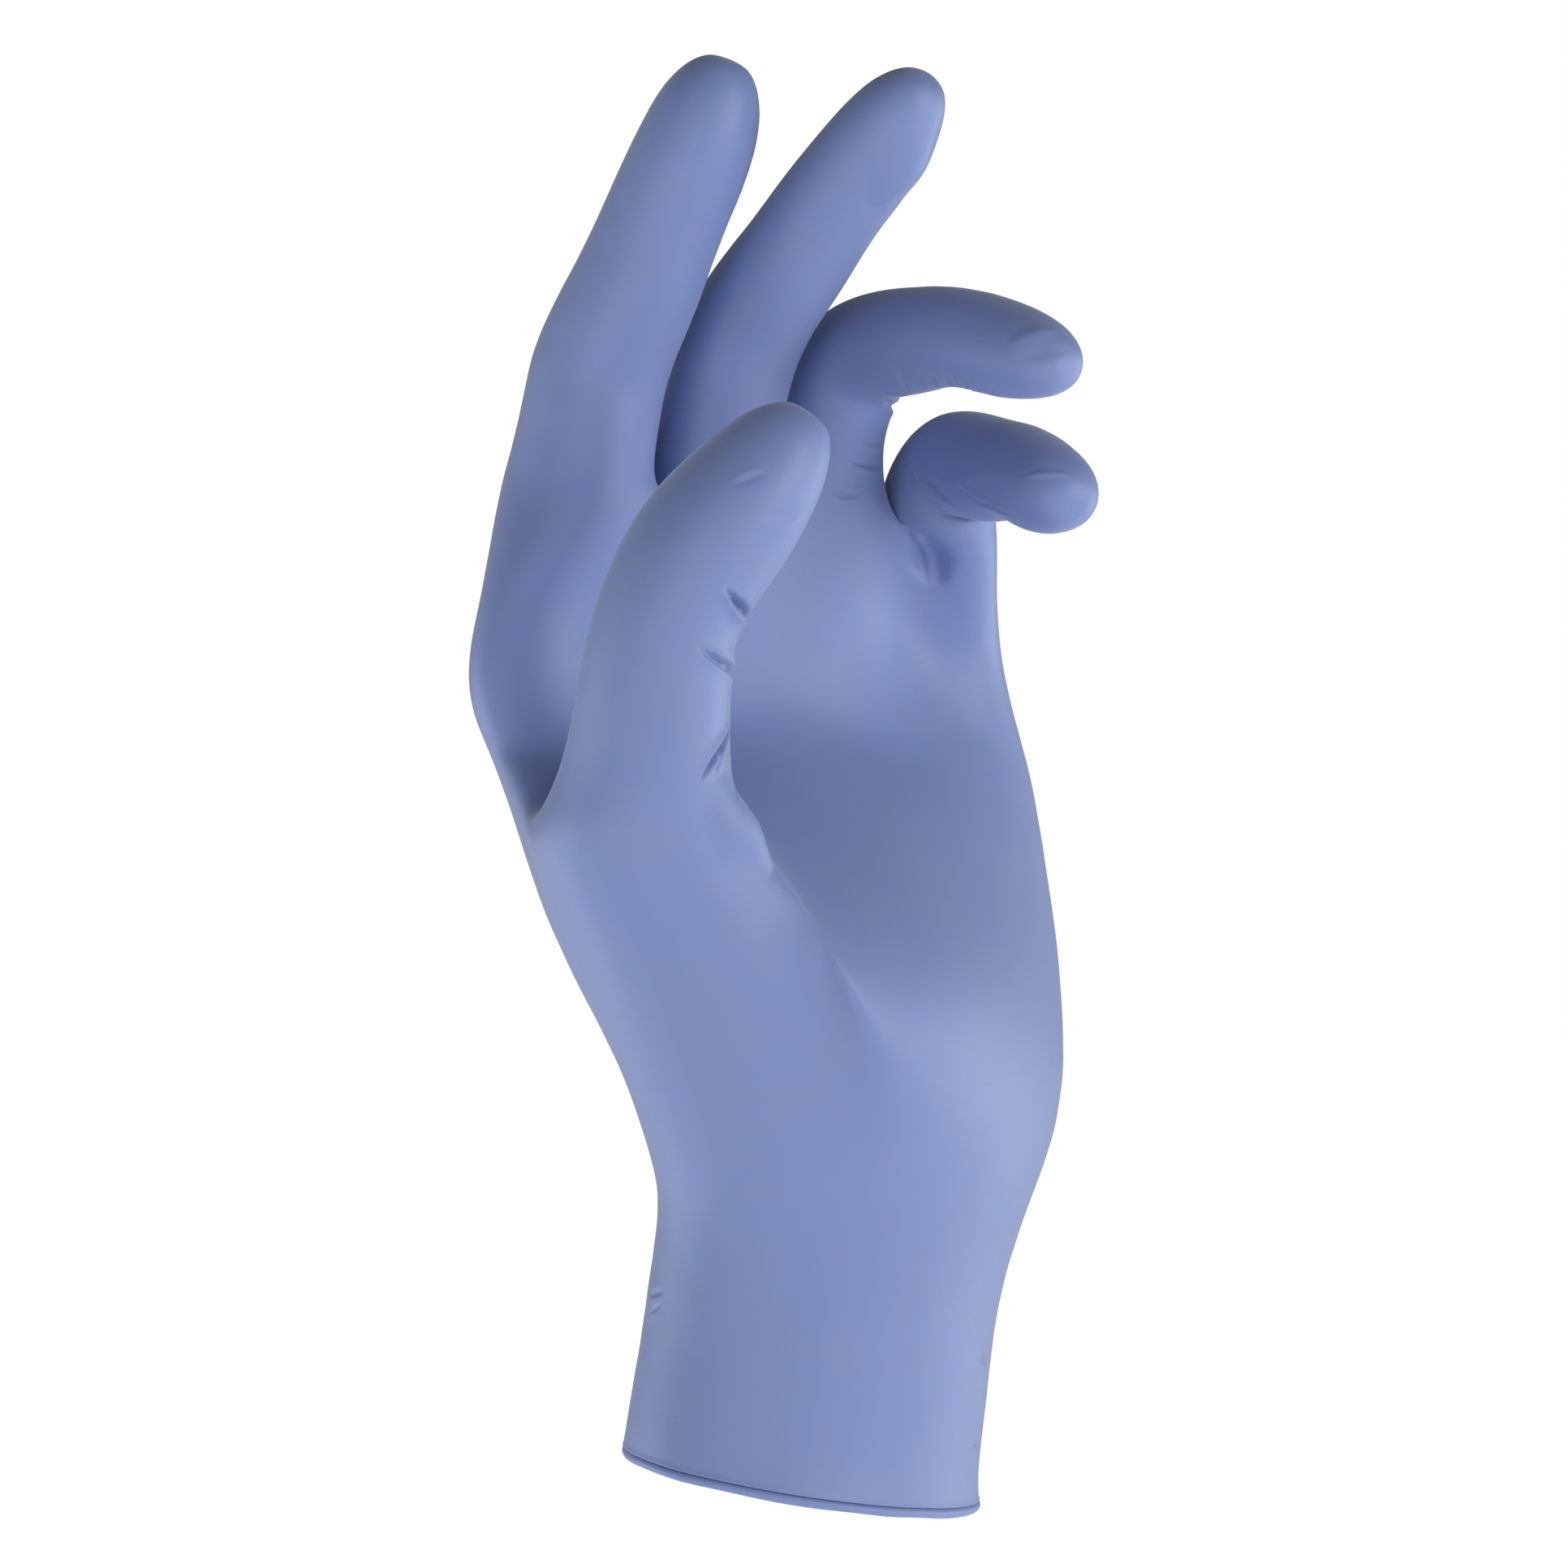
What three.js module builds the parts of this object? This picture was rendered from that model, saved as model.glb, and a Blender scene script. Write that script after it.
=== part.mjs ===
import * as THREE from "three";

// A nitrile examination glove, standing as it does on a left hand, with the hand left out.
// Millimetres. +Z runs up the arm to the fingertips, +X is to the right of someone who looks at the
// palm, and +Y points away from them. The origin is the middle of the cuff's opening.
//
// The glove is one dipped film, so it is one solid. Its outer face is a cage of rings, joined into
// one skin and smoothed. The inner face is the same skin moved in by the film's thickness, and the
// rolled bead of the cuff joins the two.

// Driving sizes
const WALL = 1; // film, thicker than a real one so that it is a solid
const BEAD = 2.2; // rolled edge of the cuff, across its round section
const CUFF_LENGTH = 40; // cuff's edge to wrist
const PALM_LENGTH = 78; // wrist to the middle finger's knuckle
const WRIST_WIDTH = 60;
const WRIST_THICKNESS = 42;
const PALM_WIDTH = 92; // across the knuckles
const PALM_THICKNESS = 32;
const FINGER_REACH = 103; // the middle finger from its knuckle to its tip, along the bones
const FINGER_WIDTH = 18.5; // a finger, across its second joint
const THUMB_REACH = 122; // the thumb from the wrist to its tip, along the bones
const THUMB_WIDTH = 21; // the thumb, across its last joint

// The cage's fineness. A ring of the palm starts on the thumb's side and runs over the palm to the
// little finger's side, then back over the knuckles. A ring of a digit starts on the same side and
// runs the same way. Neighbouring fingers share a point of the palm, one of the web and one of
// the back.
const PALM_SIDES = 20;
const FINGER_SIDES = 8;
const BEAD_STEPS = 6;

// How deep the hollows between the fingers are, by their place in a ring of the palm
const BETWEEN_FINGERS = { 3: 1, 5: 1, 7: 2, 13: 1, 15: 1, 17: 1 };

// The thumb leaves the palm through a hole in its cage, counted in rows from the wrist and in
// columns from the start of a ring. The rings of its root lie between the hole's rim and the
// thumb's first section, at shares of the way back to the rim.
const HOLE = { row: 1, column: 0, rows: 4, columns: 3 };
const THUMB_SIDES = 2 * (HOLE.rows + HOLE.columns);
const THUMB_ROOT = [0.68, 0.33];

// Rows of a table as objects, one field for each named column.
const table = (columns, rows) =>
  rows.map((row) => Object.fromEntries(columns.map((name, i) => [name, row[i]])));

// Level sections of the cuff and palm. up is a share of the length, x and y of the width. turn is
// the heading of the long axis, in degrees. wide and thick are shares of the width and thickness.
// cup bends both sides towards the palm, hollow sinks the middle of the palm and valley sinks the
// places between the fingers, in shares of the thickness. thenar and heel swell the root of the
// thumb and the heel of the palm, in shares of the width, and spread widens the cage at the thumb.
// slant is the section's fall to the right.
const SECTION = [
  "up", "x", "y", "turn", "wide", "thick",
  "cup", "hollow", "valley", "thenar", "heel", "spread", "slant",
];
const CUFF = table(SECTION, [
  [0.0, 0.0, 0.0, 45, 1.0, 1.02, 0, 0, 0, 0, 0, 0, 0.2],
  [0.12, 0.005, 0.0, 45, 0.99, 1.0, 0, 0, 0, 0, 0, 0, 0.19],
  [0.4, 0.03, 0.0, 45, 0.985, 1.0, 0, 0, 0, 0, 0, 0, 0.14],
  [0.7, 0.055, 0.0, 45, 0.99, 1.0, 0, 0, 0, 0, 0, 0, 0.08],
]);
const PALM = table(SECTION, [
  [0.0, 0.064, 0.0, 45, 0.685, 1.32, 0, 0, 0, 0, 0.01, 0.1, 0.04],
  [0.13, 0.076, 0.02, 44, 0.8, 1.34, 0.04, 0, 0, 0.04, 0.03, 0.4, 0],
  [0.31, 0.049, 0.055, 43, 0.91, 1.26, 0.08, 0, 0, 0.12, 0.09, 0.5, 0],
  [0.52, -0.011, 0.103, 40.5, 1.01, 1.14, 0.12, 0, 0, 0.18, 0.12, 0.5, 0],
  [0.75, -0.056, 0.153, 37.5, 1.04, 1.01, 0.13, 0, 0, 0.03, 0.07, 0.35, 0.01],
  [0.86, -0.096, 0.164, 36.6, 1.057, 0.98, 0.18, 0.06, 0, 0, 0.01, 0.15, 0.02],
  [0.96, -0.126, 0.17, 36, 1.07, 0.95, 0.2, 0.05, 0.04, 0, 0, 0, 0.05],
  [1.13, -0.127, 0.16, 37, 1.01, 0.86, 0.2, 0, 0.1, 0, 0, 0, 0.08],
]);
const KNUCKLES = PALM[6];

// Where the thumb's root and the heel swell to, in shares across the palm and out of it
const THENAR = { across: -0.6, outward: 0.8 };
const HEEL = { across: -0.14, outward: 1 };

// Sections of the digits. at is a share of the way from the web to the tip, for the thumb from
// its root. wide and thick are shares of the digit's width. pad moves a section towards the palm,
// and pinch presses in its palm side, in the same shares.
const DIGIT_SECTION = ["at", "wide", "thick", "pad", "pinch"];
const FINGER = table(DIGIT_SECTION, [
  [0.0, 1.13, 1.13, 0.0, 0.0],
  [0.09, 1.06, 1.04, 0.0, 0.0],
  [0.19, 1.04, 1.0, 0.0, 0.0],
  [0.29, 1.04, 1.02, -0.02, 0.06],
  [0.39, 1.0, 0.95, 0.0, 0.0],
  [0.51, 0.95, 0.91, 0.03, 0.0],
  [0.64, 0.93, 0.87, 0.0, 0.05],
  [0.79, 0.9, 0.84, 0.02, 0.0],
  [0.92, 0.76, 0.68, 0.0, 0.0],
  [0.99, 0.4, 0.36, 0.0, 0.0],
]);
const THUMB = table(DIGIT_SECTION, [
  [0.49, 1.12, 1.36, -0.11, 0.0],
  [0.54, 1.14, 1.14, 0.01, 0.0],
  [0.6, 1.07, 1.06, 0.05, 0.03],
  [0.66, 1.02, 1.0, 0.02, 0.0],
  [0.73, 1.03, 1.0, 0.0, 0.06],
  [0.81, 1.02, 1.0, 0.0, 0.0],
  [0.89, 0.9, 0.9, 0.02, 0.0],
  [0.96, 0.68, 0.68, 0.0, 0.0],
  [0.995, 0.36, 0.36, 0.0, 0.0],
]);

// The lines of the digits, from the thumb's side to the little finger's. A knuckle is placed
// across the palm, in shares of half its width, in front of its middle, in shares of its thickness,
// and up it. reach and width are shares of the finger's sizes, and web is the share of the reach
// that lies in the palm. Each bone has its share of the reach and a heading in degrees: lean is to
// the right of straight up and toward is towards the viewer. hinge is the heading of a digit's
// width, and dip sinks the palm's side of the web after a finger, in shares of the palm's
// thickness.
const FINGER_LINES = [
  {
    knuckle: { across: -0.71, front: 0.05, up: 0.95 },
    reach: 0.95,
    web: 0.3,
    width: 1.06,
    hinge: 38,
    bones: [
      { share: 0.494, lean: 9.3, toward: 8 },
      { share: 0.275, lean: 23.5, toward: 17 },
      { share: 0.231, lean: 23, toward: 15 },
    ],
  },
  {
    knuckle: { across: -0.235, front: 0.0, up: 0.995 },
    reach: 1.0,
    web: 0.3,
    width: 0.96,
    hinge: 38,
    bones: [
      { share: 0.5, lean: 12.9, toward: 12.3 },
      { share: 0.274, lean: 35, toward: 32 },
      { share: 0.226, lean: 39, toward: 28 },
    ],
  },
  {
    knuckle: { across: 0.19, front: 0.04, up: 0.975 },
    reach: 0.95,
    web: 0.33,
    width: 0.93,
    hinge: 38,
    dip: 0.05,
    bones: [
      { share: 0.515, lean: 12.6, toward: 10.5 },
      { share: 0.26, lean: 81, toward: 50 },
      { share: 0.225, lean: 112, toward: 44 },
    ],
  },
  {
    knuckle: { across: 0.715, front: 0.29, up: 0.87 },
    reach: 0.75,
    web: 0.4,
    width: 0.92,
    hinge: 38,
    bones: [
      { share: 0.53, lean: 1.5, toward: 10 },
      { share: 0.235, lean: 88, toward: 57 },
      { share: 0.235, lean: 127, toward: 58 },
    ],
  },
];
const THUMB_LINE = {
  root: { x: -0.022, y: -0.15, up: 0.07 },
  web: 0,
  hinge: 93,
  bones: [
    { share: 0.505, lean: -20.5, toward: 22.5 },
    { share: 0.252, lean: 8.6, toward: 12 },
    { share: 0.254, lean: 36.3, toward: 1 },
  ],
};

const rad = THREE.MathUtils.degToRad;
const vec = (x, y, z) => new THREE.Vector3(x, y, z);
const upTo = (count) => [...Array(count).keys()];
const mean = (points) =>
  points.reduce((sum, p) => sum.add(p), vec(0, 0, 0)).divideScalar(points.length);

// How far out the corners of a polygon stand whose sides touch a circle of radius 1.
const cornerReach = (sides) => 1 / Math.cos(Math.PI / sides);

// Level axes for a heading: across, and out of the palm.
function axesOf(turn) {
  const across = vec(Math.cos(rad(turn)), Math.sin(rad(turn)), 0);
  return { across, outward: vec(across.y, -across.x, 0) };
}

const heading = ({ lean, toward }) =>
  vec(
    Math.sin(rad(lean)) * Math.cos(rad(toward)),
    -Math.sin(rad(toward)),
    Math.cos(rad(lean)) * Math.cos(rad(toward)),
  );

// The cage: points, and faces of four corners that run anticlockwise seen from outside.
const cage = { points: [], faces: [] };
const addPoint = (point) => cage.points.push(point) - 1;
const addRing = (ring) => ring.map(addPoint);

function bridge(low, high, isOpen = () => false) {
  low.forEach((corner, i) => {
    const next = (i + 1) % low.length;
    if (!isOpen(i)) cage.faces.push([corner, low[next], high[next], high[i]]);
  });
}

// Points about a middle, from the thumb's side over the palm to the other side and back. place
// gives the offsets of the point at a share across and a share outward.
function ringAbout(middle, { across, outward }, angles, place) {
  return angles.map((angle, i) => {
    const [sideways, forward] = place(Math.cos(angle), -Math.sin(angle), i);
    return middle.clone().addScaledVector(across, sideways).addScaledVector(outward, forward);
  });
}
const evenAngles = (sides) => upTo(sides).map((i) => Math.PI * (1 + (2 * i) / sides));

// Cuff and palm
const holeAngle = Math.PI * (1 + (2 * HOLE.column + HOLE.columns) / PALM_SIDES);

function palmRing(row, size) {
  const { width, thickness } = size;
  const reach = cornerReach(PALM_SIDES) / 2;
  const middle = vec(row.x * width, row.y * width, size.foot + row.up * size.length);
  const angles = evenAngles(PALM_SIDES).map(
    (angle) => angle + row.spread * Math.sin(angle - holeAngle),
  );
  const ring = ringAbout(middle, axesOf(row.turn), angles, (sideways, forward, i) => {
    const facing = (way) => Math.max(0, way.outward * forward + way.across * sideways);
    const swell = row.thenar * facing(THENAR) ** 3 * width;
    const rise = row.heel * facing(HEEL) ** 3 * width;
    const sunk = row.hollow * Math.max(forward, 0) ** 2;
    const groove = (BETWEEN_FINGERS[i] ?? 0) * row.valley * Math.sign(forward);
    const bend = (row.cup * sideways ** 2 - sunk - groove) * thickness;
    return [
      sideways * reach * row.wide * width + THENAR.across * swell,
      forward * reach * row.thick * thickness + THENAR.outward * swell + rise + bend,
    ];
  });
  for (const point of ring) point.z -= row.slant * (point.x - middle.x);
  return ring;
}

const cuffSize = {
  foot: BEAD,
  length: CUFF_LENGTH - BEAD,
  width: WRIST_WIDTH,
  thickness: WRIST_THICKNESS,
};
const palmSize = {
  foot: CUFF_LENGTH,
  length: PALM_LENGTH,
  width: PALM_WIDTH,
  thickness: PALM_THICKNESS,
};
const cuffRings = CUFF.map((row) => addRing(palmRing(row, cuffSize)));
const palmRings = PALM.map((row) => addRing(palmRing(row, palmSize)));
const bodyRings = [...cuffRings, ...palmRings];
bodyRings.slice(1).forEach((high, below) => {
  const up = below - cuffRings.length - HOLE.row;
  const besideHole = up < 0 || up >= HOLE.rows;
  const isHole = (i) => !besideHole && i >= HOLE.column && i < HOLE.column + HOLE.columns;
  bridge(bodyRings[below], high, isHole);
});

// Rings of a digit along a smooth line through its joints, and the end of that line.
function digitRings(start, line, reach, width, sections, sides) {
  const joints = [start];
  for (const bone of line.bones)
    joints.push(joints.at(-1).clone().addScaledVector(heading(bone), bone.share * reach));
  const curve = new THREE.CatmullRomCurve3(joints);
  const side = axesOf(line.hinge).across;
  const radius = (cornerReach(sides) * width) / 2;
  const rings = sections.map(({ at, wide, thick, pad, pinch }) => {
    const place = THREE.MathUtils.lerp(line.web, 1, at);
    const along = curve.getTangentAt(place);
    const across = side.clone().addScaledVector(along, -side.dot(along)).normalize();
    const outward = new THREE.Vector3().crossVectors(across, along);
    const middle = curve.getPointAt(place).addScaledVector(outward, pad * width);
    return ringAbout(middle, { across, outward }, evenAngles(sides), (sideways, forward) => [
      sideways * radius * wide,
      forward * radius * thick - Math.max(forward, 0) * pinch * width,
    ]);
  });
  return { rings, tip: joints.at(-1) };
}

function addDigit(base, { rings, tip }) {
  let last = base;
  for (const ring of rings) {
    const added = addRing(ring);
    bridge(last, added);
    last = added;
  }
  const end = addPoint(tip);
  for (let i = 0; i < last.length; i += 2)
    cage.faces.push([last[i], last[i + 1], last[(i + 2) % last.length], end]);
}

// Fingers. The first ring of each is its web, and two neighbours share three points of theirs.
const { across: knuckleAcross, outward: knuckleOutward } = axesOf(KNUCKLES.turn);
const fingers = FINGER_LINES.map((line) => {
  const knuckle = vec(KNUCKLES.x * PALM_WIDTH, KNUCKLES.y * PALM_WIDTH, 0)
    .addScaledVector(knuckleAcross, (line.knuckle.across * PALM_WIDTH) / 2)
    .addScaledVector(knuckleOutward, line.knuckle.front * PALM_THICKNESS)
    .setZ(CUFF_LENGTH + line.knuckle.up * PALM_LENGTH);
  const reach = line.reach * FINGER_REACH;
  return digitRings(knuckle, line, reach, line.width * FINGER_WIDTH, FINGER, FINGER_SIDES);
});
const SHARED = [
  { mine: 3, next: 1 },
  { mine: 4, next: 0 },
  { mine: 5, next: 7 },
];
const webs = fingers.map(({ rings }) => addRing(rings.shift()));
webs.slice(1).forEach((web, before) => {
  for (const { mine, next } of SHARED) {
    const kept = webs[before][mine];
    cage.points[kept] = mean([cage.points[kept], cage.points[web[next]]]);
    web[next] = kept;
  }
  const { dip = 0 } = FINGER_LINES[before];
  const palmSide = cage.points[web[SHARED[0].next]];
  palmSide.addScaledVector(knuckleOutward, -dip * PALM_THICKNESS);
});
const lastWeb = webs.at(-1);
const webRim = [
  webs[0][0],
  ...webs.flatMap((web) => web.slice(1, 3)),
  ...lastWeb.slice(3, 6),
  ...webs.toReversed().flatMap((web) => web.slice(6)),
];
bridge(palmRings.at(-1), webRim);
fingers.forEach((finger, i) => addDigit(webs[i], finger));

// Thumb. The rim of its hole runs as its rings do, from the lower edge.
const rimPoint = (up, sideways) => palmRings[HOLE.row + up][HOLE.column + sideways];
const rim = [
  ...upTo(HOLE.columns).map((i) => rimPoint(0, i)),
  ...upTo(HOLE.rows).map((i) => rimPoint(i, HOLE.columns)),
  ...upTo(HOLE.columns).map((i) => rimPoint(HOLE.rows, HOLE.columns - i)),
  ...upTo(HOLE.rows).map((i) => rimPoint(HOLE.rows - i, 0)),
];
const thumbBase = [...rim.slice(1), rim[0]];
const thumbRoot = vec(
  THUMB_LINE.root.x * PALM_WIDTH,
  THUMB_LINE.root.y * PALM_WIDTH,
  CUFF_LENGTH + THUMB_LINE.root.up * PALM_LENGTH,
);
const thumb = digitRings(thumbRoot, THUMB_LINE, THUMB_REACH, THUMB_WIDTH, THUMB, THUMB_SIDES);
const firstRing = thumb.rings[0];
const rootRings = THUMB_ROOT.map((share) =>
  firstRing.map((point, i) => point.clone().lerp(cage.points[thumbBase[i]], share)),
);
thumb.rings.unshift(...rootRings);
addDigit(thumbBase, thumb);

// One step of Catmull-Clark smoothing, which splits each face in four.
function smoothed({ points, faces }) {
  const edges = new Map();
  const edgeOf = (a, b) => {
    const key = `${Math.min(a, b)} ${Math.max(a, b)}`;
    if (!edges.has(key)) edges.set(key, { ends: [points[a], points[b]], near: [] });
    return edges.get(key);
  };
  const around = points.map(() => ({ faces: [], edges: new Set() }));
  const middles = faces.map((face) => {
    const middle = mean(face.map((i) => points[i]));
    face.forEach((corner, i) => {
      const edge = edgeOf(corner, face[(i + 1) % face.length]);
      edge.near.push(middle);
      for (const end of [corner, face[(i + 1) % face.length]]) around[end].edges.add(edge);
      around[corner].faces.push(middle);
    });
    return middle;
  });
  const isOpen = (edge) => edge.near.length === 1;
  const moved = points.map((point, i) => {
    const beside = [...around[i].edges];
    const open = beside.filter(isOpen);
    if (!beside.length) return point;
    if (open.length) return mean([point, mean(open.map((edge) => mean(edge.ends)))]);
    return point
      .clone()
      .multiplyScalar(beside.length - 3)
      .add(mean(around[i].faces))
      .addScaledVector(mean(beside.map((edge) => mean(edge.ends))), 2)
      .divideScalar(beside.length);
  });
  const place = (point) => moved.push(point) - 1;
  const middlePlaces = middles.map(place);
  for (const edge of edges.values())
    edge.place = place(mean([...edge.ends, ...(isOpen(edge) ? [] : edge.near)]));
  const split = faces.flatMap((face, f) =>
    face.map((corner, i) => [
      corner,
      edgeOf(corner, face[(i + 1) % face.length]).place,
      middlePlaces[f],
      edgeOf(corner, face.at(i - 1)).place,
    ]),
  );
  return { points: moved, faces: split };
}

// Two triangles for a face, cut along its shorter diagonal.
function cut(points, [a, b, c, d]) {
  const isShorter = points[a].distanceTo(points[c]) < points[b].distanceTo(points[d]);
  return isShorter ? [a, b, c, a, c, d] : [a, b, d, b, c, d];
}

// The film: the skin, and the same skin moved in and turned inside out
const skin = smoothed(cage);
const skinTriangles = skin.faces.flatMap((face) => cut(skin.points, face));
const skinSurface = new THREE.BufferGeometry().setFromPoints(skin.points).setIndex(skinTriangles);
skinSurface.computeVertexNormals();
const normals = skin.points.map((_, i) =>
  vec(0, 0, 0).fromBufferAttribute(skinSurface.attributes.normal, i),
);
const lining = skin.points.map((point, i) => point.clone().addScaledVector(normals[i], -WALL));
const toLining = skin.points.length;
const points = [...skin.points, ...lining];
const triangles = [
  ...skinTriangles,
  ...skinTriangles.map((corner) => corner + toLining).reverse(),
];

// The cuff's open edge, anticlockwise seen from above: the sides of faces with no face beyond
const sides = skin.faces.flatMap((face) => face.map((a, i) => [a, face[(i + 1) % 4]]));
const taken = new Set(sides.map(([a, b]) => `${a} ${b}`));
const onward = new Map(sides.filter(([a, b]) => !taken.has(`${b} ${a}`)));
const edge = [onward.keys().next().value];
while (onward.get(edge.at(-1)) !== edge[0]) edge.push(onward.get(edge.at(-1)));

// The bead: a round section that hangs below the film, from its outer face round to its lining
const beadRadius = BEAD / 2;
const drop = Math.sqrt(beadRadius ** 2 - (WALL / 2) ** 2);
const neck = Math.atan2(drop, WALL / 2);
const beadRings = upTo(BEAD_STEPS - 1).map((step) => {
  const turn = THREE.MathUtils.lerp(-neck, Math.PI + neck, (step + 1) / BEAD_STEPS);
  return edge.map((i) => {
    const middle = mean([skin.points[i], lining[i]]).add(vec(0, 0, -drop));
    const out = normals[i].clone().multiplyScalar(beadRadius * Math.cos(turn));
    return points.push(middle.add(out).add(vec(0, 0, -beadRadius * Math.sin(turn)))) - 1;
  });
});
const aroundBead = [edge, ...beadRings, edge.map((i) => i + toLining)];
aroundBead.slice(1).forEach((low, above) => {
  const high = aroundBead[above];
  low.forEach((corner, i) => {
    const next = (i + 1) % low.length;
    triangles.push(...cut(points, [corner, low[next], high[next], high[i]]));
  });
});

const filmSurface = new THREE.BufferGeometry().setFromPoints(points).setIndex(triangles);
filmSurface.computeVertexNormals();
const nitrile = new THREE.MeshStandardMaterial({ color: 0x7f8fc8, roughness: 0.6, metalness: 0 });
const film = new THREE.Mesh(filmSurface, nitrile);
film.name = "glove_film";

const glove = new THREE.Group();
glove.add(film);
export default glove;
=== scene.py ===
"""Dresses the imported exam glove: its film with folds and rolled edge, its finish and the studio."""

import math

import bmesh
import bpy
import numpy as np
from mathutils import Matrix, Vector, noise
from mathutils.bvhtree import BVHTree


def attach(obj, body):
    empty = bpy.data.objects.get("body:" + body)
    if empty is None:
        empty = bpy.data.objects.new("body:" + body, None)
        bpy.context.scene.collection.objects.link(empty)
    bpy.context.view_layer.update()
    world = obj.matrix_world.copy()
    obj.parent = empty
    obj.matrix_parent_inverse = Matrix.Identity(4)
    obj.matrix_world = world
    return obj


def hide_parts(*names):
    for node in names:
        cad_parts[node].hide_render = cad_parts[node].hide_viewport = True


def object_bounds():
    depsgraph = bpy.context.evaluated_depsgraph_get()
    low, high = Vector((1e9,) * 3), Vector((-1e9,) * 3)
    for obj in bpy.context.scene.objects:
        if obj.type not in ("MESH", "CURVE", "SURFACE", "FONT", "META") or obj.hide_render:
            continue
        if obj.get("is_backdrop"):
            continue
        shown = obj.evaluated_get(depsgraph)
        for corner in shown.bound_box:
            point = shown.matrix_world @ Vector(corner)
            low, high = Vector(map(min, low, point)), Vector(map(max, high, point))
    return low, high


bl_info = {
    "name": "Exam Glove",
    "version": (1, 0, 0),
    "blender": (4, 5, 0),
    "location": "View3D > Sidebar > Glove",
    "description": "Builds a nitrile exam glove over its solid, with a studio round it",
    "category": "Add Mesh",
}

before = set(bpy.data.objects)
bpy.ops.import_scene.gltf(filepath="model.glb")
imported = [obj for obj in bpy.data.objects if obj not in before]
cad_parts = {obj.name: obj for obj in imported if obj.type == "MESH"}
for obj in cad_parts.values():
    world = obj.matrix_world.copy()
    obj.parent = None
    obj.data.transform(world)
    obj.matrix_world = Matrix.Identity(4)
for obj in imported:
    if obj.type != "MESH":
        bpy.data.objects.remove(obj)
SOLID = "glove_film"
MM = 0.001

# The solid's own sizes that the film is built on, in metres
SOLID_BEAD = 2.2 * MM
RIM_FALL = 0.2  # fall of the cuff's edge for each metre to the right
BEAD_TOP = -0.15 * MM  # faces lower than this over the plane of the cuff's edge are the bead's
MERGE = 0.01 * MM

# Where the photograph's camera stands, and its focal length in widths of the picture
CAMERA_PLACE = Vector((-2.86, -700.0, 102.4)) * MM
FOCAL_WIDTHS = 5880 / 1932
SENSOR = 36.0
CLIP_START = 0.01
FLOOR_REACH = 8.0

DOWN = Vector((0, 0, -1))

# The rolled edge hangs below the film in a section of steps outward and down, in millimetres:
# first the lip of the film, then the groove over the roll.
LIP = ((0.1, 0.3), (0.17, 0.5), (0.13, 0.62), (-0.03, 0.64), (-0.3, 0.58))
ROLL_MIDDLE = (-0.45, 1.42)
ROLL_START = -105
ROLL_END = 235
ROLL_STEPS = 14
ROLL_WOBBLE = 0.08  # unevenness of the roll, as a share of how far down a point of it hangs
ROLL_WOBBLE_WIDTH = 9 * MM

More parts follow.
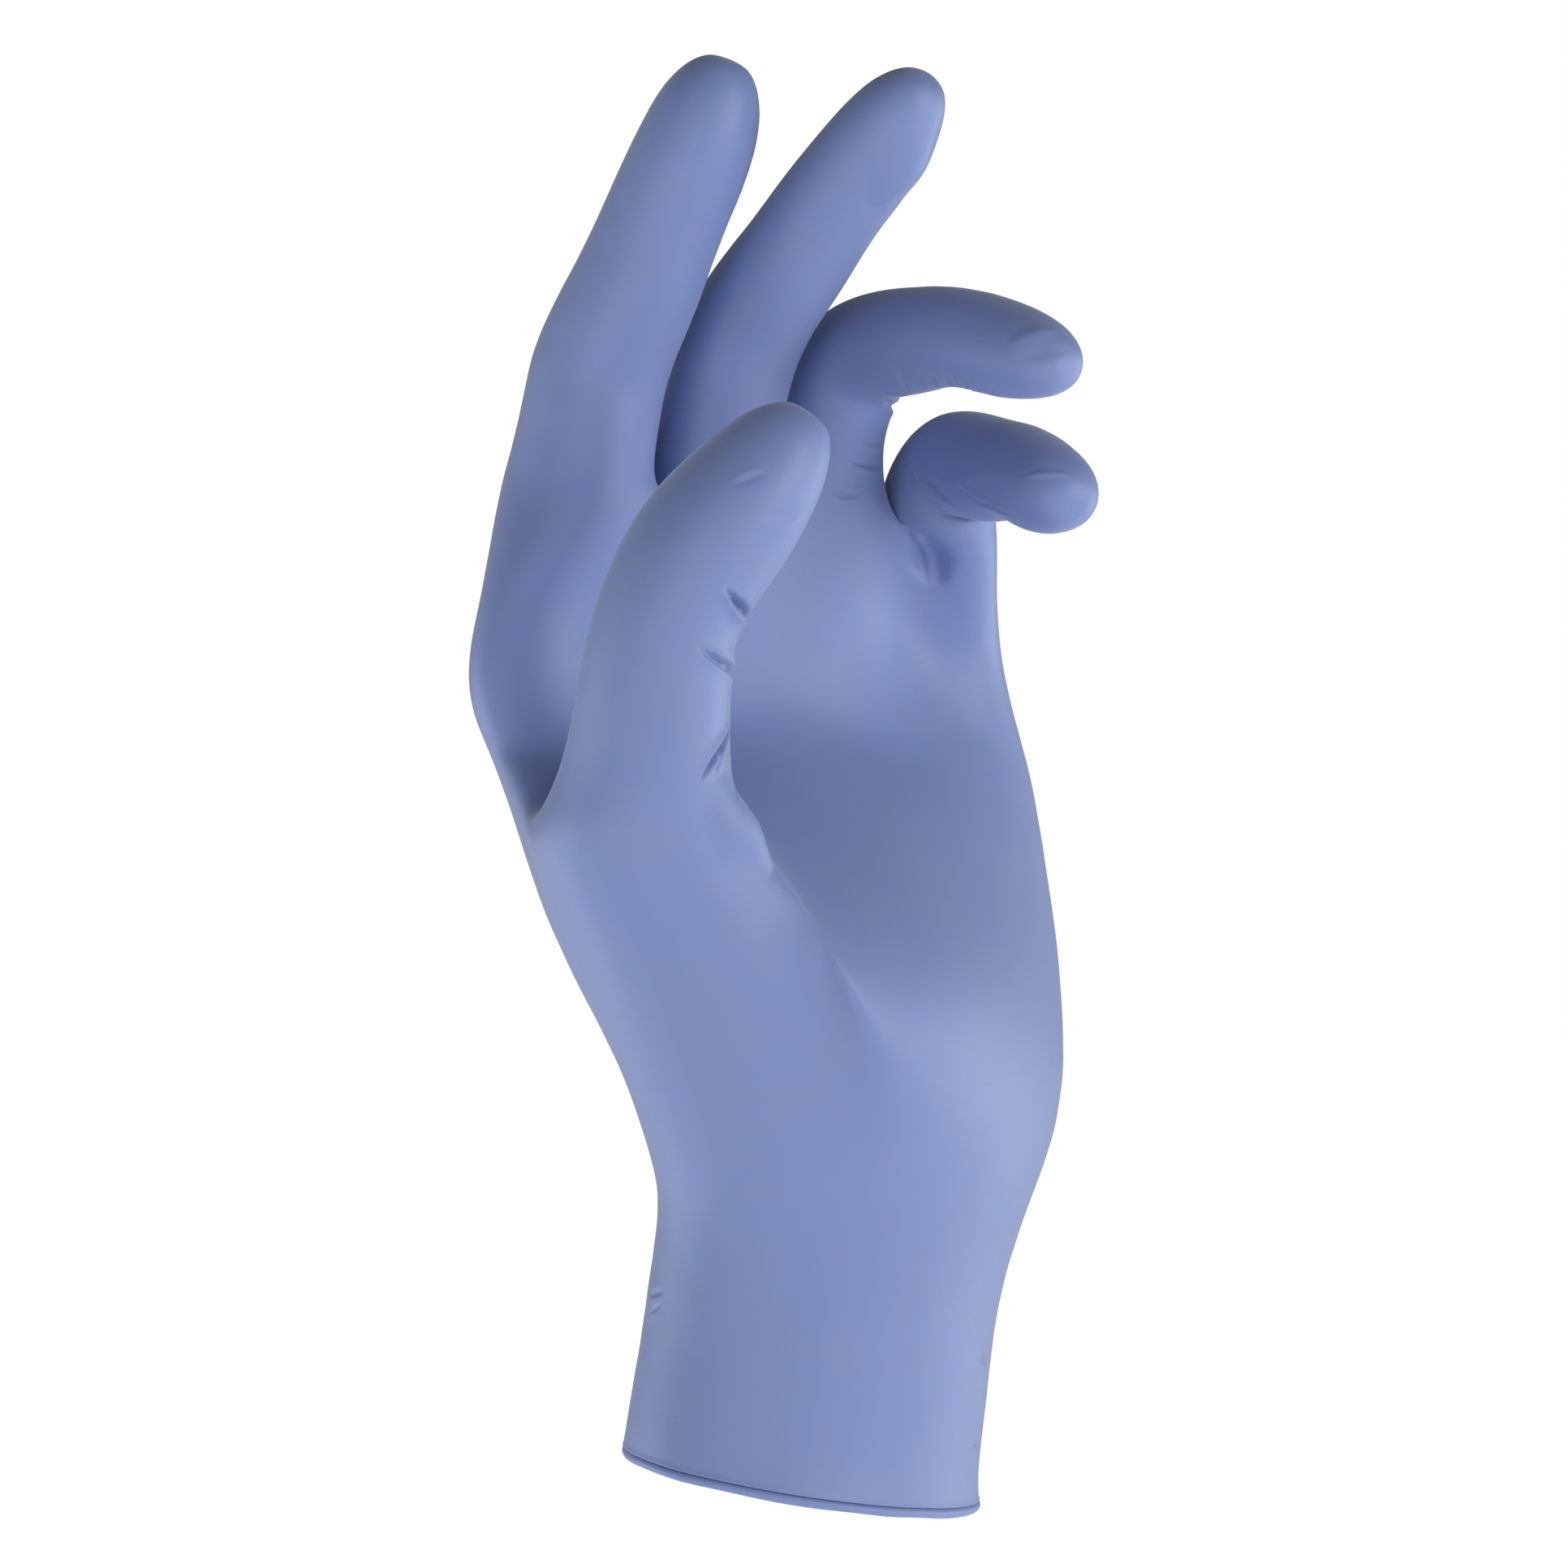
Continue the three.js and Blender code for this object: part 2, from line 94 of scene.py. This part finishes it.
# Creases. seen lists where a crease runs on the picture plane, to the right and up from the
# cuff, in millimetres, and over is how much further it runs round the film, out of sight. Width
# and depth are those of its hollow, and a depth below nothing makes a swell instead. left and
# right are the heights of the film beside it.
CREASE = ("seen", "over", "width", "depth", "left", "right")
CREASES = [
    dict(zip(CREASE, row))
    for row in (
        # The thumb's palm side
        (((-11.6, 131.3), (-9.9, 129.2), (-8.9, 128.0)), 6, 0.65, 1.9, 0.1, 0.9),
        (((-15.6, 122.4), (-12.8, 120.7), (-10.9, 119.4)), 6, 0.6, 1.5, 0.6, 0.3),
        (((-13.3, 122.6), (-11.8, 121.6)), 5, 0.4, 0.4, 0.1, 0.1),
        (((-15.6, 102.4), (-13.3, 106.0), (-11.9, 108.3)), 6, 0.55, 1.0, 0.5, 0.3),
        (((-13.0, 103.6), (-12.2, 106.7)), 2, 0.4, 0.4, 0.1, 0.2),
        (((-12.4, 103.5), (-11.6, 99.5), (-8.6, 95.2), (-4.4, 90.0)), 0, 4.0, -2.4, 0.0, 0.0),
        # The thumb's tip
        (((-10.5, 146.2), (-7.9, 147.2), (-5.2, 148.1)), 0, 0.6, 0.15, 0.1, 0.0),
        (((-7.1, 141.2), (-2.6, 141.7), (0.5, 142.1)), 0, 0.7, 0.2, 0.0, 0.15),
        # The middle finger's last bone
        (((18.8, 199.0), (16.0, 193.5), (10.5, 187.0)), 0, 4.0, -1.3, 0.0, 0.0),
        # The ring finger's root, joint, underside and tip
        (((3.6, 145.4), (5.6, 144.7), (8.0, 144.8), (9.0, 145.8)), 0, 0.5, 0.5, 0.2, 0.1),
        (((13.1, 163.8), (14.3, 162.4), (15.6, 160.3)), 0, 0.5, 0.35, 0.1, 0.2),
        (((11.8, 160.1), (13.3, 159.6)), 3, 0.5, 0.3, 0.1, 0.1),
        (((6.9, 149.6), (8.8, 149.3)), 5, 0.5, 0.45, 0.1, 0.2),
        (((7.8, 152.8), (10.0, 152.4)), 5, 0.45, 0.4, 0.1, 0.2),
        (((8.6, 154.9), (10.9, 154.3)), 5, 0.4, 0.3, 0.1, 0.1),
        (((11.7, 159.0), (13.3, 157.8)), 6, 0.6, 0.6, 0.2, 0.2),
        (((19.0, 163.6), (19.1, 161.9)), 5, 0.5, 0.4, 0.1, 0.1),
        (((21.8, 163.1), (21.5, 161.5)), 5, 0.5, 0.4, 0.1, 0.1),
        (((24.4, 162.5), (24.1, 160.9)), 5, 0.4, 0.3, 0.1, 0.1),
        (((28.0, 162.0), (27.8, 160.7)), 5, 0.4, 0.3, 0.1, 0.1),
        (((29.5, 166.4), (33.5, 168.3), (38.5, 168.6)), 0, 1.2, -0.35, 0.0, 0.0),
        (((30.9, 164.4), (35.5, 165.8), (40.0, 165.8)), 0, 1.4, 0.25, 0.0, 0.0),
        # The web between the ring and little fingers
        (((15.3, 139.6), (16.5, 136.2), (18.4, 131.6)), 0, 0.8, 0.8, 0.6, 0.0),
        (((17.0, 139.0), (18.4, 135.4), (20.2, 131.4)), 0, 2.3, 2.2, 0.0, 0.0),
        # The little finger's root and joints
        (((15.7, 150.7), (18.4, 146.4), (22.4, 143.2)), 0, 0.8, 0.9, 0.5, 0.2),
        (((22.0, 146.6), (26.0, 143.6), (30.5, 142.0)), 0, 0.6, 0.4, 0.25, 0.1),
        (((31.5, 147.2), (35.7, 147.9), (39.5, 147.6)), 0, 0.6, -0.25, 0.0, 0.0),
        # Nicks in the sides of the cuff
        (((-20.4, 28.0), (-21.3, 27.8)), 4, 0.45, 0.4, 0.2, 0.1),
        (((-20.7, 26.0), (-21.3, 25.7)), 4, 0.35, 0.25, 0.1, 0.1),
        (((25.6, 18.3), (26.3, 18.0)), 4, 0.45, 0.35, 0.1, 0.1),
        (((24.4, 5.6), (25.0, 5.6)), 4, 0.4, 0.25, 0.1, 0.1),
    )
]
CREASE_STEP = 0.3 * MM
CREASE_REACH = 3.5  # how far from its middle a crease is felt, in its widths
CREASE_ENDS = 0.45  # a crease's width at its ends, as a share of that at its middle
CREASE_PAST = 20  # how far past an end of a crease a point still counts, in crease steps
CREASE_AGREE = 1.5  # how soon a crease takes hold where the film turns towards the same side
SIDE_PLACE = 1.7  # where the film stands raised beside a crease, in its widths
SIDE_WIDTH = 1.1  # and how broadly, in the same widths
REFINE = (3.0, 1.8)  # how near to a crease each round of finer faces starts, in its widths

# The film's soft unevenness also has finer waves, this much closer and lower than the broad ones
FINE_CLOSER = 3.3
FINE_LOWER = 0.35

# The studio's lights: where each stands round the glove, in degrees to the right of the viewer
# and up, its size in metres and its share of the power
LIGHT = ("name", "azimuth", "rise", "size", "share")
LIGHTS = [
    dict(zip(LIGHT, row))
    for row in (
        ("left", -95, -20, 0.9, 1.6),
        ("low_front", -15, -20, 1.2, 1.7),
        ("right", 62, 6, 0.5, 1.5),
        ("rim", 115, -5, 0.5, 0.8),
    )
]
LIGHT_DISTANCE = 0.9
SKY_RISE = (0.2, 0.7)  # how far up the world starts and ends to brighten
SKY_LEAST = 0.03


# Settings


def length(name, description, default, **more):
    """A property for a length in metres."""
    return bpy.props.FloatProperty(
        name=name,
        description=description,
        default=default,
        subtype="DISTANCE",
        unit="LENGTH",
        precision=5,
        min=0.0,
        **more,
    )


def colour(name, description, default):
    """A property for a linear colour."""
    return bpy.props.FloatVectorProperty(
        name=name, description=description, default=default, subtype="COLOR", size=3, min=0, max=1
    )


def share(name, description, default):
    """A property for a share from nothing to all."""
    return bpy.props.FloatProperty(
        name=name, description=description, default=default, subtype="FACTOR", min=0, max=1
    )


class FilmSettings(bpy.types.PropertyGroup):
    """Sizes of the film."""

    fineness: bpy.props.IntProperty(
        name="Fineness", description="Subdivision of the outer face", default=2, min=0, max=3
    )
    edge_wall: length("Edge Wall", "Thickness of the film near the cuff's edge", 0.45 * MM)
    wall: length("Wall", "Distance of the lining from the outer face above the cuff", 1.0 * MM)
    thin_height: length("Thin Height", "How far up the cuff the film is thin", 30 * MM)
    roll: length("Roll", "Diameter of the rolled edge", 1.45 * MM)
    waves: length("Waves", "Height of the film's soft unevenness", 0.16 * MM)
    wave_width: length("Wave Width", "Width of the film's soft unevenness", 15 * MM)


class NitrileSettings(bpy.types.PropertyGroup):
    """Colours and finish of the nitrile."""

    tone: colour("Tone", "The film's main colour", (0.182, 0.243, 0.49))
    mauve: colour("Mauve", "Its greyer patches", (0.2, 0.246, 0.47))
    azure: colour("Azure", "Its bluer patches", (0.17, 0.243, 0.51))
    roughness: share("Roughness", "Roughness of the dipped face", 0.5)
    sheen: share("Sheen", "Soft light along its edges", 0.35)
    patch: length("Patch", "Width of a patch of colour", 7 * MM)
    grain: length("Grain", "Width of the dipping grain", 0.55 * MM)
    grain_height: length("Grain Height", "Height of the dipping grain", 0.03 * MM)


class StudioSettings(bpy.types.PropertyGroup):
    """Floor and light."""

    drop: length("Drop", "Height of the held glove over the floor", 450 * MM)
    floor: colour("Floor", "Colour of the floor", (0.86, 0.87, 0.89))
    glow: share("Floor Glow", "How brightly the floor lights the glove", 0.36)
    sky: share("Sky", "Brightness of the light from above", 0.1)
    power: bpy.props.FloatProperty(
        name="Power", description="Power of a light of share 1", default=3.1, unit="POWER", min=0
    )


# Shader expressions


class Value:
    """A socket in an expression: arithmetic on it adds Math nodes."""

    def __init__(self, graph, socket):
        self.graph = graph
        self.socket = socket

    def math(self, operation, first, second):
        return self.graph.node("ShaderNodeMath", {"operation": operation}, {0: first, 1: second})

    def __add__(self, other):
        return self.math("ADD", self, other)

    def __sub__(self, other):
        return self.math("SUBTRACT", self, other)

    def __rsub__(self, other):
        return self.math("SUBTRACT", other, self)

    def __mul__(self, other):
        return self.math("MULTIPLY", self, other)

    __radd__ = __add__
    __rmul__ = __mul__


class Graph:
    """The nodes of a material or of the world."""

    def __init__(self, owner):
        owner.use_nodes = True
        self.tree = owner.node_tree
        self.tree.nodes.clear()

    def node(self, kind, settings=None, sockets=None, output=0):
        """Adds a node, gives it its settings, then values or links, and hands back an output."""
        made = self.tree.nodes.new(kind)
        for name, value in (settings or {}).items():
            setattr(made, name, value)
        for key, value in (sockets or {}).items():
            if isinstance(value, Value):
                self.tree.links.new(value.socket, made.inputs[key])
            else:
                made.inputs[key].default_value = value
        if not made.outputs:
            return None
        return Value(self, made.outputs[output])

    def noise(self, place, width, detail=2.0, roughness=0.5):
        """Soft noise whose features are about as wide as said."""
        return self.node(
            "ShaderNodeTexNoise",
            {},
            {"Vector": place, "Scale": 1 / width, "Detail": detail, "Roughness": roughness},
        )

    def mix(self, factor, first, second):
        """A colour between two."""
        return self.node(
            "ShaderNodeMix",
            {"data_type": "RGBA"},
            {"Factor": factor, "A": first, "B": second},
            "Result",
        )

    def steps(self, value, low, high):
        """A value turned smoothly from 0 at low to 1 at high."""
        return self.node(
            "ShaderNodeMapRange",
            {"interpolation_type": "SMOOTHSTEP"},
            {"Value": value, "From Min": low, "From Max": high},
        )


def opaque(values):
    return (*values, 1.0)


# The nitrile's pattern: how wide a cloud is in patches and the coarse grain in fine grains, over
# which noise each of the two patterns fades in, and how far it then goes towards its colour
CLOUD_PATCHES = 3.1
COARSE_GRAIN = 3.7
CLOUD_EDGES = (0.35, 0.65)
CLOUD_MOST = 0.5
PATCH_EDGES = (0.45, 0.75)
PATCH_MOST = 0.6


def nitrile(settings):
    """Dipped nitrile: matt, faintly mottled, with a fine grain.

    Broad clouds are bluer and smaller patches greyer. The grain and the patches change how
    matt it is.
    """
    material = bpy.data.materials.new("nitrile")
    graph = Graph(material)
    place = graph.node("ShaderNodeTexCoord", output="Object")
    patches = graph.noise(place, settings.patch, 4.0, 0.6)
    clouds = graph.noise(place, settings.patch * CLOUD_PATCHES)
    grain = graph.noise(place, settings.grain, 3.0, 0.6)
    bluer = graph.steps(clouds, *CLOUD_EDGES) * CLOUD_MOST
    tone = graph.mix(bluer, opaque(settings.tone), opaque(settings.azure))
    tone = graph.mix(graph.steps(patches, *PATCH_EDGES) * PATCH_MOST, tone, opaque(settings.mauve))
    height = grain * 0.7 + graph.noise(place, settings.grain * COARSE_GRAIN) * 0.6
    normal = graph.node(
        "ShaderNodeBump",
        {},
        {"Height": height, "Distance": settings.grain_height, "Strength": 1.0},
    )
    shader = graph.node(
        "ShaderNodeBsdfPrincipled",
        {},
        {
            "Base Color": tone,
            "Roughness": grain * 0.12 + patches * 0.1 + (settings.roughness - 0.11),
            "Normal": normal,
            "IOR": 1.48,
            "Sheen Weight": settings.sheen,
            "Sheen Roughness": 0.45,
            "Sheen Tint": (0.85, 0.9, 1.0, 1.0),
        },
    )
    graph.node("ShaderNodeOutputMaterial", {}, {"Surface": shader})
    return material


def floor_finish(settings):
    """Plain pale floor: white to the camera and dim to the glove that it lights."""
    material = bpy.data.materials.new("floor")
    graph = Graph(material)
    seen = graph.node("ShaderNodeLightPath", output="Is Camera Ray")
    dim = [settings.glow * value for value in settings.floor]
    shader = graph.node(
        "ShaderNodeBsdfPrincipled",
        {},
        {
            "Base Color": opaque(settings.floor),
            "Roughness": 0.9,
            "Emission Color": graph.mix(seen, opaque(dim), (1, 1, 1, 1)),
            "Emission Strength": 1.0,
        },
    )
    graph.node("ShaderNodeOutputMaterial", {}, {"Surface": shader})
    return material


# Meshes


def points_of(mesh):
    """The vertices of a mesh as rows of numbers."""
    flat = np.zeros(len(mesh.vertices) * 3)
    mesh.vertices.foreach_get("co", flat)
    return flat.reshape(-1, 3)


def set_points(mesh, points):
    mesh.vertices.foreach_set("co", points.ravel())
    mesh.update()


def normals_of(mesh):
    flat = np.zeros(len(mesh.vertices) * 3)
    mesh.vertex_normals.foreach_get("vector", flat)
    return flat.reshape(-1, 3)


def new_object(name, mesh):
    made = bpy.data.objects.new(name, mesh)
    bpy.context.scene.collection.objects.link(made)
    return made


def over_rim(point):
    """How high a point is over the plane of the cuff's edge."""
    return point[2] - (SOLID_BEAD - RIM_FALL * point[0])


def islands(mesh):
    """The separate surfaces of a bmesh, as sets of faces."""
    left = set(mesh.faces)
    found = []
    while left:
        waiting = [left.pop()]
        island = set(waiting)
        while waiting:
            for edge in waiting.pop().edges:
                for face in edge.link_faces:
                    if face in left:
                        left.remove(face)
                        island.add(face)
                        waiting.append(face)
        found.append(island)
    return found


def outer_face():
    """The outer face of the solid's film as quads, open at the cuff."""
    mesh = bmesh.new()
    mesh.from_mesh(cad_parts[SOLID].data)
    bmesh.ops.remove_doubles(mesh, verts=mesh.verts, dist=MERGE)
    bead = [face for face in mesh.faces if over_rim(face.calc_center_median()) < BEAD_TOP]
    bmesh.ops.delete(mesh, geom=bead, context="FACES")
    surfaces = islands(mesh)
    top = max(mesh.verts, key=lambda vert: vert.co.z)
    lining = [face for faces in surfaces if top.link_faces[0] not in faces for face in faces]
    bmesh.ops.delete(mesh, geom=lining, context="FACES")
    bmesh.ops.join_triangles(
        mesh,
        faces=mesh.faces,
        angle_face_threshold=math.pi,
        angle_shape_threshold=math.pi,
        topology_influence=1.0,
    )
    made = bpy.data.meshes.new("outer_face")
    mesh.to_mesh(made)
    mesh.free()
    return made


def subdivided(mesh, levels):
    """A smoothly subdivided copy that still passes through the mesh's own vertices."""
    helper = new_object("helper", mesh)
    modifier = helper.modifiers.new("smooth", "SUBSURF")
    modifier.levels = modifier.render_levels = levels
    start = points_of(mesh)
    depsgraph = bpy.context.evaluated_depsgraph_get()
    rough = bpy.data.meshes.new_from_object(helper.evaluated_get(depsgraph))
    set_points(mesh, 2 * start - points_of(rough)[: len(start)])
    depsgraph.update()
    made = bpy.data.meshes.new_from_object(helper.evaluated_get(depsgraph))
    bpy.data.objects.remove(helper)
    bpy.data.meshes.remove(rough)
    return made


def aim(across, up):
    """The camera's heading towards a point of the picture plane, in millimetres."""
    return (Vector((across, 0.0, up)) * MM - CAMERA_PLACE).normalized()


def crease_path(tree, crease):
    """Points, normals and headings along a crease: where it is seen, then on round the film."""
    hits = [tree.ray_cast(CAMERA_PLACE, aim(*place))[0] for place in crease["seen"]]
    if None in hits:
        raise ValueError(f"a crease leaves the film: {crease['seen']}")
    points = hits[:1]
    for start, end in zip(hits, hits[1:]):
        count = max(1, round((end - start).length / CREASE_STEP))
        points += [start.lerp(end, (step + 1) / count) for step in range(count)]
    found = [tree.find_nearest(point)[:2] for point in points]
    for _ in range(round(crease["over"] * MM / CREASE_STEP)):
        place, normal = found[-1]
        onward = place - found[-3][0]
        onward = (onward - normal * onward.dot(normal)).normalized()
        found.append(tree.find_nearest(place + onward * CREASE_STEP)[:2])
    places = np.array([place for place, _ in found])
    facing = np.array([normal for _, normal in found])
    along = np.gradient(places, axis=0)
    along /= np.linalg.norm(along, axis=1)[:, None]
    return places, facing, along


def beside(path, width, points, normals):
    """For points near a crease: which they are, how far to its right, in widths, and its hold."""
    places, facing, along = path
    reach = CREASE_REACH * width
    low, high = places.min(axis=0) - reach, places.max(axis=0) + reach
    near = np.flatnonzero(((points > low) & (points < high)).all(axis=1))
    if not len(near):
        return near, near.astype(float), near.astype(float)
    gaps = points[near][:, None, :] - places[None, :, :]
    nearest = np.linalg.norm(gaps, axis=2).argmin(axis=1)
    gap = gaps[np.arange(len(near)), nearest]
    heading = along[nearest]
    rightward = np.cross(heading, facing[nearest])
    past = np.einsum("ij,ij->i", gap, heading)
    aside = gap - past[:, None] * heading
    side = np.sign(np.einsum("ij,ij->i", gap, rightward))
    offset = side * np.linalg.norm(aside, axis=1) / width
    steps_on = nearest + np.clip(past / CREASE_STEP, -CREASE_PAST, CREASE_PAST)
    taper = np.sin(math.pi * np.clip(steps_on / (len(places) - 1), 0, 1))
    agree = np.einsum("ij,ij->i", normals[near], facing[nearest])
    agree = np.clip(agree * CREASE_AGREE, 0, 1)
    return near, offset / (CREASE_ENDS + (1 - CREASE_ENDS) * taper), taper * agree


def creased(creases, points, normals):
    """How far the creases move each point out along its normal."""
    shift = np.zeros(len(points))
    for crease, path in creases:
        near, offset, hold = beside(path, crease["width"] * MM, points, normals)
        form = -crease["depth"] * np.exp(-(offset**2))
        form += crease["right"] * np.exp(-(((offset - SIDE_PLACE) / SIDE_WIDTH) ** 2))
        form += crease["left"] * np.exp(-(((offset + SIDE_PLACE) / SIDE_WIDTH) ** 2))
        shift[near] += form * hold * MM
    return shift


def uneven(settings, points):
    """The film's soft unevenness at each point."""
    broad = [noise.noise(Vector(point) / settings.wave_width) for point in points]
    fine = [noise.noise(Vector(point) / settings.wave_width * FINE_CLOSER) for point in points]
    return settings.waves * (np.array(broad) + FINE_LOWER * np.array(fine))


def refine(mesh, creases):
    """Splits the faces near the creases, so that these come out sharp."""
    for spread in REFINE:
        points, normals = points_of(mesh), normals_of(mesh)
        close = np.zeros(len(points), dtype=bool)
        for crease, path in creases:
            near, offset, hold = beside(path, crease["width"] * MM, points, normals)
            close[near[(np.abs(offset) < spread) & (hold > 0)]] = True
        work = bmesh.new()
        work.from_mesh(mesh)
        edges = [edge for edge in work.edges if any(close[vert.index] for vert in edge.verts)]
        bmesh.ops.subdivide_edges(work, edges=edges, cuts=1, use_grid_fill=True)
        work.to_mesh(mesh)
        work.free()


def outward(vert):
    """The level heading out of the film at a point of its edge."""
    return Vector((vert.normal.x, vert.normal.y, 0)).normalized()


def roll_section(diameter):
    """Steps outward and down from the film's edge, through its lip and round the roll."""
    turns = np.radians(np.linspace(ROLL_START, ROLL_END, ROLL_STEPS))
    out, down = ROLL_MIDDLE
    radius = diameter / MM / 2
    circle = [(out + radius * math.cos(turn), down + radius * math.sin(turn)) for turn in turns]
    return [*LIP, *circle]


def roll_up(work, edges, diameter):
    """Extrudes the film's edge through the lip and round the roll."""
    starts = {vert: (vert.co.copy(), outward(vert)) for edge in edges for vert in edge.verts}
    for out, down in roll_section(diameter):
        made = bmesh.ops.extrude_edge_only(work, edges=edges)["geom"]
        fresh = {item for item in made if isinstance(item, bmesh.types.BMVert)}
        sides = [item for item in made if isinstance(item, bmesh.types.BMEdge)]
        edges = [edge for edge in sides if fresh.issuperset(edge.verts)]
        onward = {}
        for vert in fresh:
            others = (edge.other_vert(vert) for edge in vert.link_edges)
            below = next(other for other in others if other in starts)
            place, way = onward[vert] = starts[below]
            wobble = 1 + ROLL_WOBBLE * noise.noise(place / ROLL_WOBBLE_WIDTH)
            vert.co = place + (way * out + DOWN * down * wobble) * MM
        starts = onward


def lining_of(base, creases, settings):
    """The film's inner face: the outer one, moved in and turned round."""
    mesh = subdivided(base, 1)
    points, normals = points_of(mesh), normals_of(mesh)
    up = np.clip(points[:, 2] / settings.thin_height, 0, 1)
    wall = settings.edge_wall + (settings.wall - settings.edge_wall) * up * up
    shift = creased(creases, points, normals) + uneven(settings, points) - wall
    set_points(mesh, points + normals * shift[:, None])
    mesh.flip_normals()
    return mesh


def film_mesh(settings):
    """The whole film: outer face with its creases, rolled edge and lining."""
    base = outer_face()
    start = base.copy()
    mesh = subdivided(base, settings.fineness)
    tree = BVHTree.FromPolygons(
        [vert.co for vert in mesh.vertices], [face.vertices for face in mesh.polygons]
    )
    creases = [(crease, crease_path(tree, crease)) for crease in CREASES]
    refine(mesh, creases)
    points, normals = points_of(mesh), normals_of(mesh)
    shift = creased(creases, points, normals) + uneven(settings, points)
    set_points(mesh, points + normals * shift[:, None])
    lining = lining_of(start, creases, settings)

    work = bmesh.new()
    work.from_mesh(mesh)
    rim = [edge for edge in work.edges if edge.is_boundary]
    roll_up(work, rim, settings.roll)
    work.from_mesh(lining)
    bmesh.ops.bridge_loops(work, edges=[edge for edge in work.edges if edge.is_boundary])
    bmesh.ops.recalc_face_normals(work, faces=work.faces)
    whole = bpy.data.meshes.new("film")
    work.to_mesh(whole)
    work.free()
    whole.shade_smooth()
    return whole


# Operators


class GLOVE_OT_film(bpy.types.Operator):
    """Build the glove's film over its solid"""

    bl_idname = "glove.film"
    bl_label = "Build Film"

    def execute(self, context):
        film = new_object("film", film_mesh(context.scene.glove_film))
        film.data.materials.append(nitrile(context.scene.glove_nitrile))
        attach(film, "root")
        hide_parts(SOLID)
        return {"FINISHED"}


def area_light(row, target, power):
    """A soft square light that faces the glove."""
    azimuth, rise = math.radians(row["azimuth"]), math.radians(row["rise"])
    level = math.cos(rise)
    way = Vector((math.sin(azimuth) * level, -math.cos(azimuth) * level, math.sin(rise)))
    data = bpy.data.lights.new(row["name"], "AREA")
    data.energy = row["share"] * power
    data.size = row["size"]
    light = bpy.data.objects.new(row["name"], data)
    bpy.context.scene.collection.objects.link(light)
    light.location = target + LIGHT_DISTANCE * way
    light.rotation_mode = "QUATERNION"
    light.rotation_quaternion = (-way).to_track_quat("-Z", "Y")


class GLOVE_OT_studio(bpy.types.Operator):
    """Lay the floor, and set the lights and the camera"""

    bl_idname = "glove.studio"
    bl_label = "Build Studio"

    def execute(self, context):
        scene = context.scene
        settings = scene.glove_studio
        low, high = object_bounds()
        middle = (low + high) / 2

        plane = bmesh.new()
        bmesh.ops.create_grid(plane, x_segments=1, y_segments=1, size=FLOOR_REACH)
        bmesh.ops.translate(plane, verts=plane.verts, vec=(0, 0, low.z - settings.drop))
        mesh = bpy.data.meshes.new("floor")
        plane.to_mesh(mesh)
        plane.free()
        mesh.materials.append(floor_finish(settings))
        new_object("floor", mesh)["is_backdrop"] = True

        for row in LIGHTS:
            area_light(row, middle, settings.power)

        world = bpy.data.worlds.new("studio")
        scene.world = world
        graph = Graph(world)
        way = graph.node("ShaderNodeTexCoord", output="Generated")
        rise = graph.node("ShaderNodeSeparateXYZ", {}, {"Vector": way}, "Z")
        seen = graph.node("ShaderNodeLightPath", output="Is Camera Ray")
        glow = graph.steps(rise, *SKY_RISE) * settings.sky + SKY_LEAST
        light = graph.node(
            "ShaderNodeBackground",
            {},
            {"Color": (1, 1, 1, 1), "Strength": seen + (1 - seen) * glow},
        )
        graph.node("ShaderNodeOutputWorld", {}, {"Surface": light})
        scene.view_settings.view_transform = "Standard"

        data = bpy.data.cameras.new("camera")
        data.sensor_width = SENSOR
        data.lens = FOCAL_WIDTHS * SENSOR
        data.clip_start = CLIP_START
        camera = bpy.data.objects.new("camera", data)
        scene.collection.objects.link(camera)
        camera.location = CAMERA_PLACE
        camera.rotation_euler = (math.pi / 2, 0, 0)
        scene.camera = camera
        return {"FINISHED"}


class GLOVE_PT_panel(bpy.types.Panel):
    """The glove's settings and its builders."""

    bl_label = "Exam Glove"
    bl_idname = "GLOVE_PT_panel"
    bl_space_type = "VIEW_3D"
    bl_region_type = "UI"
    bl_category = "Glove"

    def draw(self, context):
        layout = self.layout
        for group in (context.scene.glove_film, context.scene.glove_nitrile):
            for name in group.__annotations__:
                layout.prop(group, name)
        layout.operator(GLOVE_OT_film.bl_idname)
        for name in context.scene.glove_studio.__annotations__:
            layout.prop(context.scene.glove_studio, name)
        layout.operator(GLOVE_OT_studio.bl_idname)


CLASSES = (
    FilmSettings,
    NitrileSettings,
    StudioSettings,
    GLOVE_OT_film,
    GLOVE_OT_studio,
    GLOVE_PT_panel,
)
GROUPS = {
    "glove_film": FilmSettings,
    "glove_nitrile": NitrileSettings,
    "glove_studio": StudioSettings,
}


def register():
    for entry in CLASSES:
        bpy.utils.register_class(entry)
    for name, group in GROUPS.items():
        setattr(bpy.types.Scene, name, bpy.props.PointerProperty(type=group))


def unregister():
    for name in GROUPS:
        delattr(bpy.types.Scene, name)
    for entry in reversed(CLASSES):
        bpy.utils.unregister_class(entry)


def main():
    register()
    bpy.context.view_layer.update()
    bpy.ops.glove.film()
    bpy.ops.glove.studio()


if __name__ == "__main__":
    main()
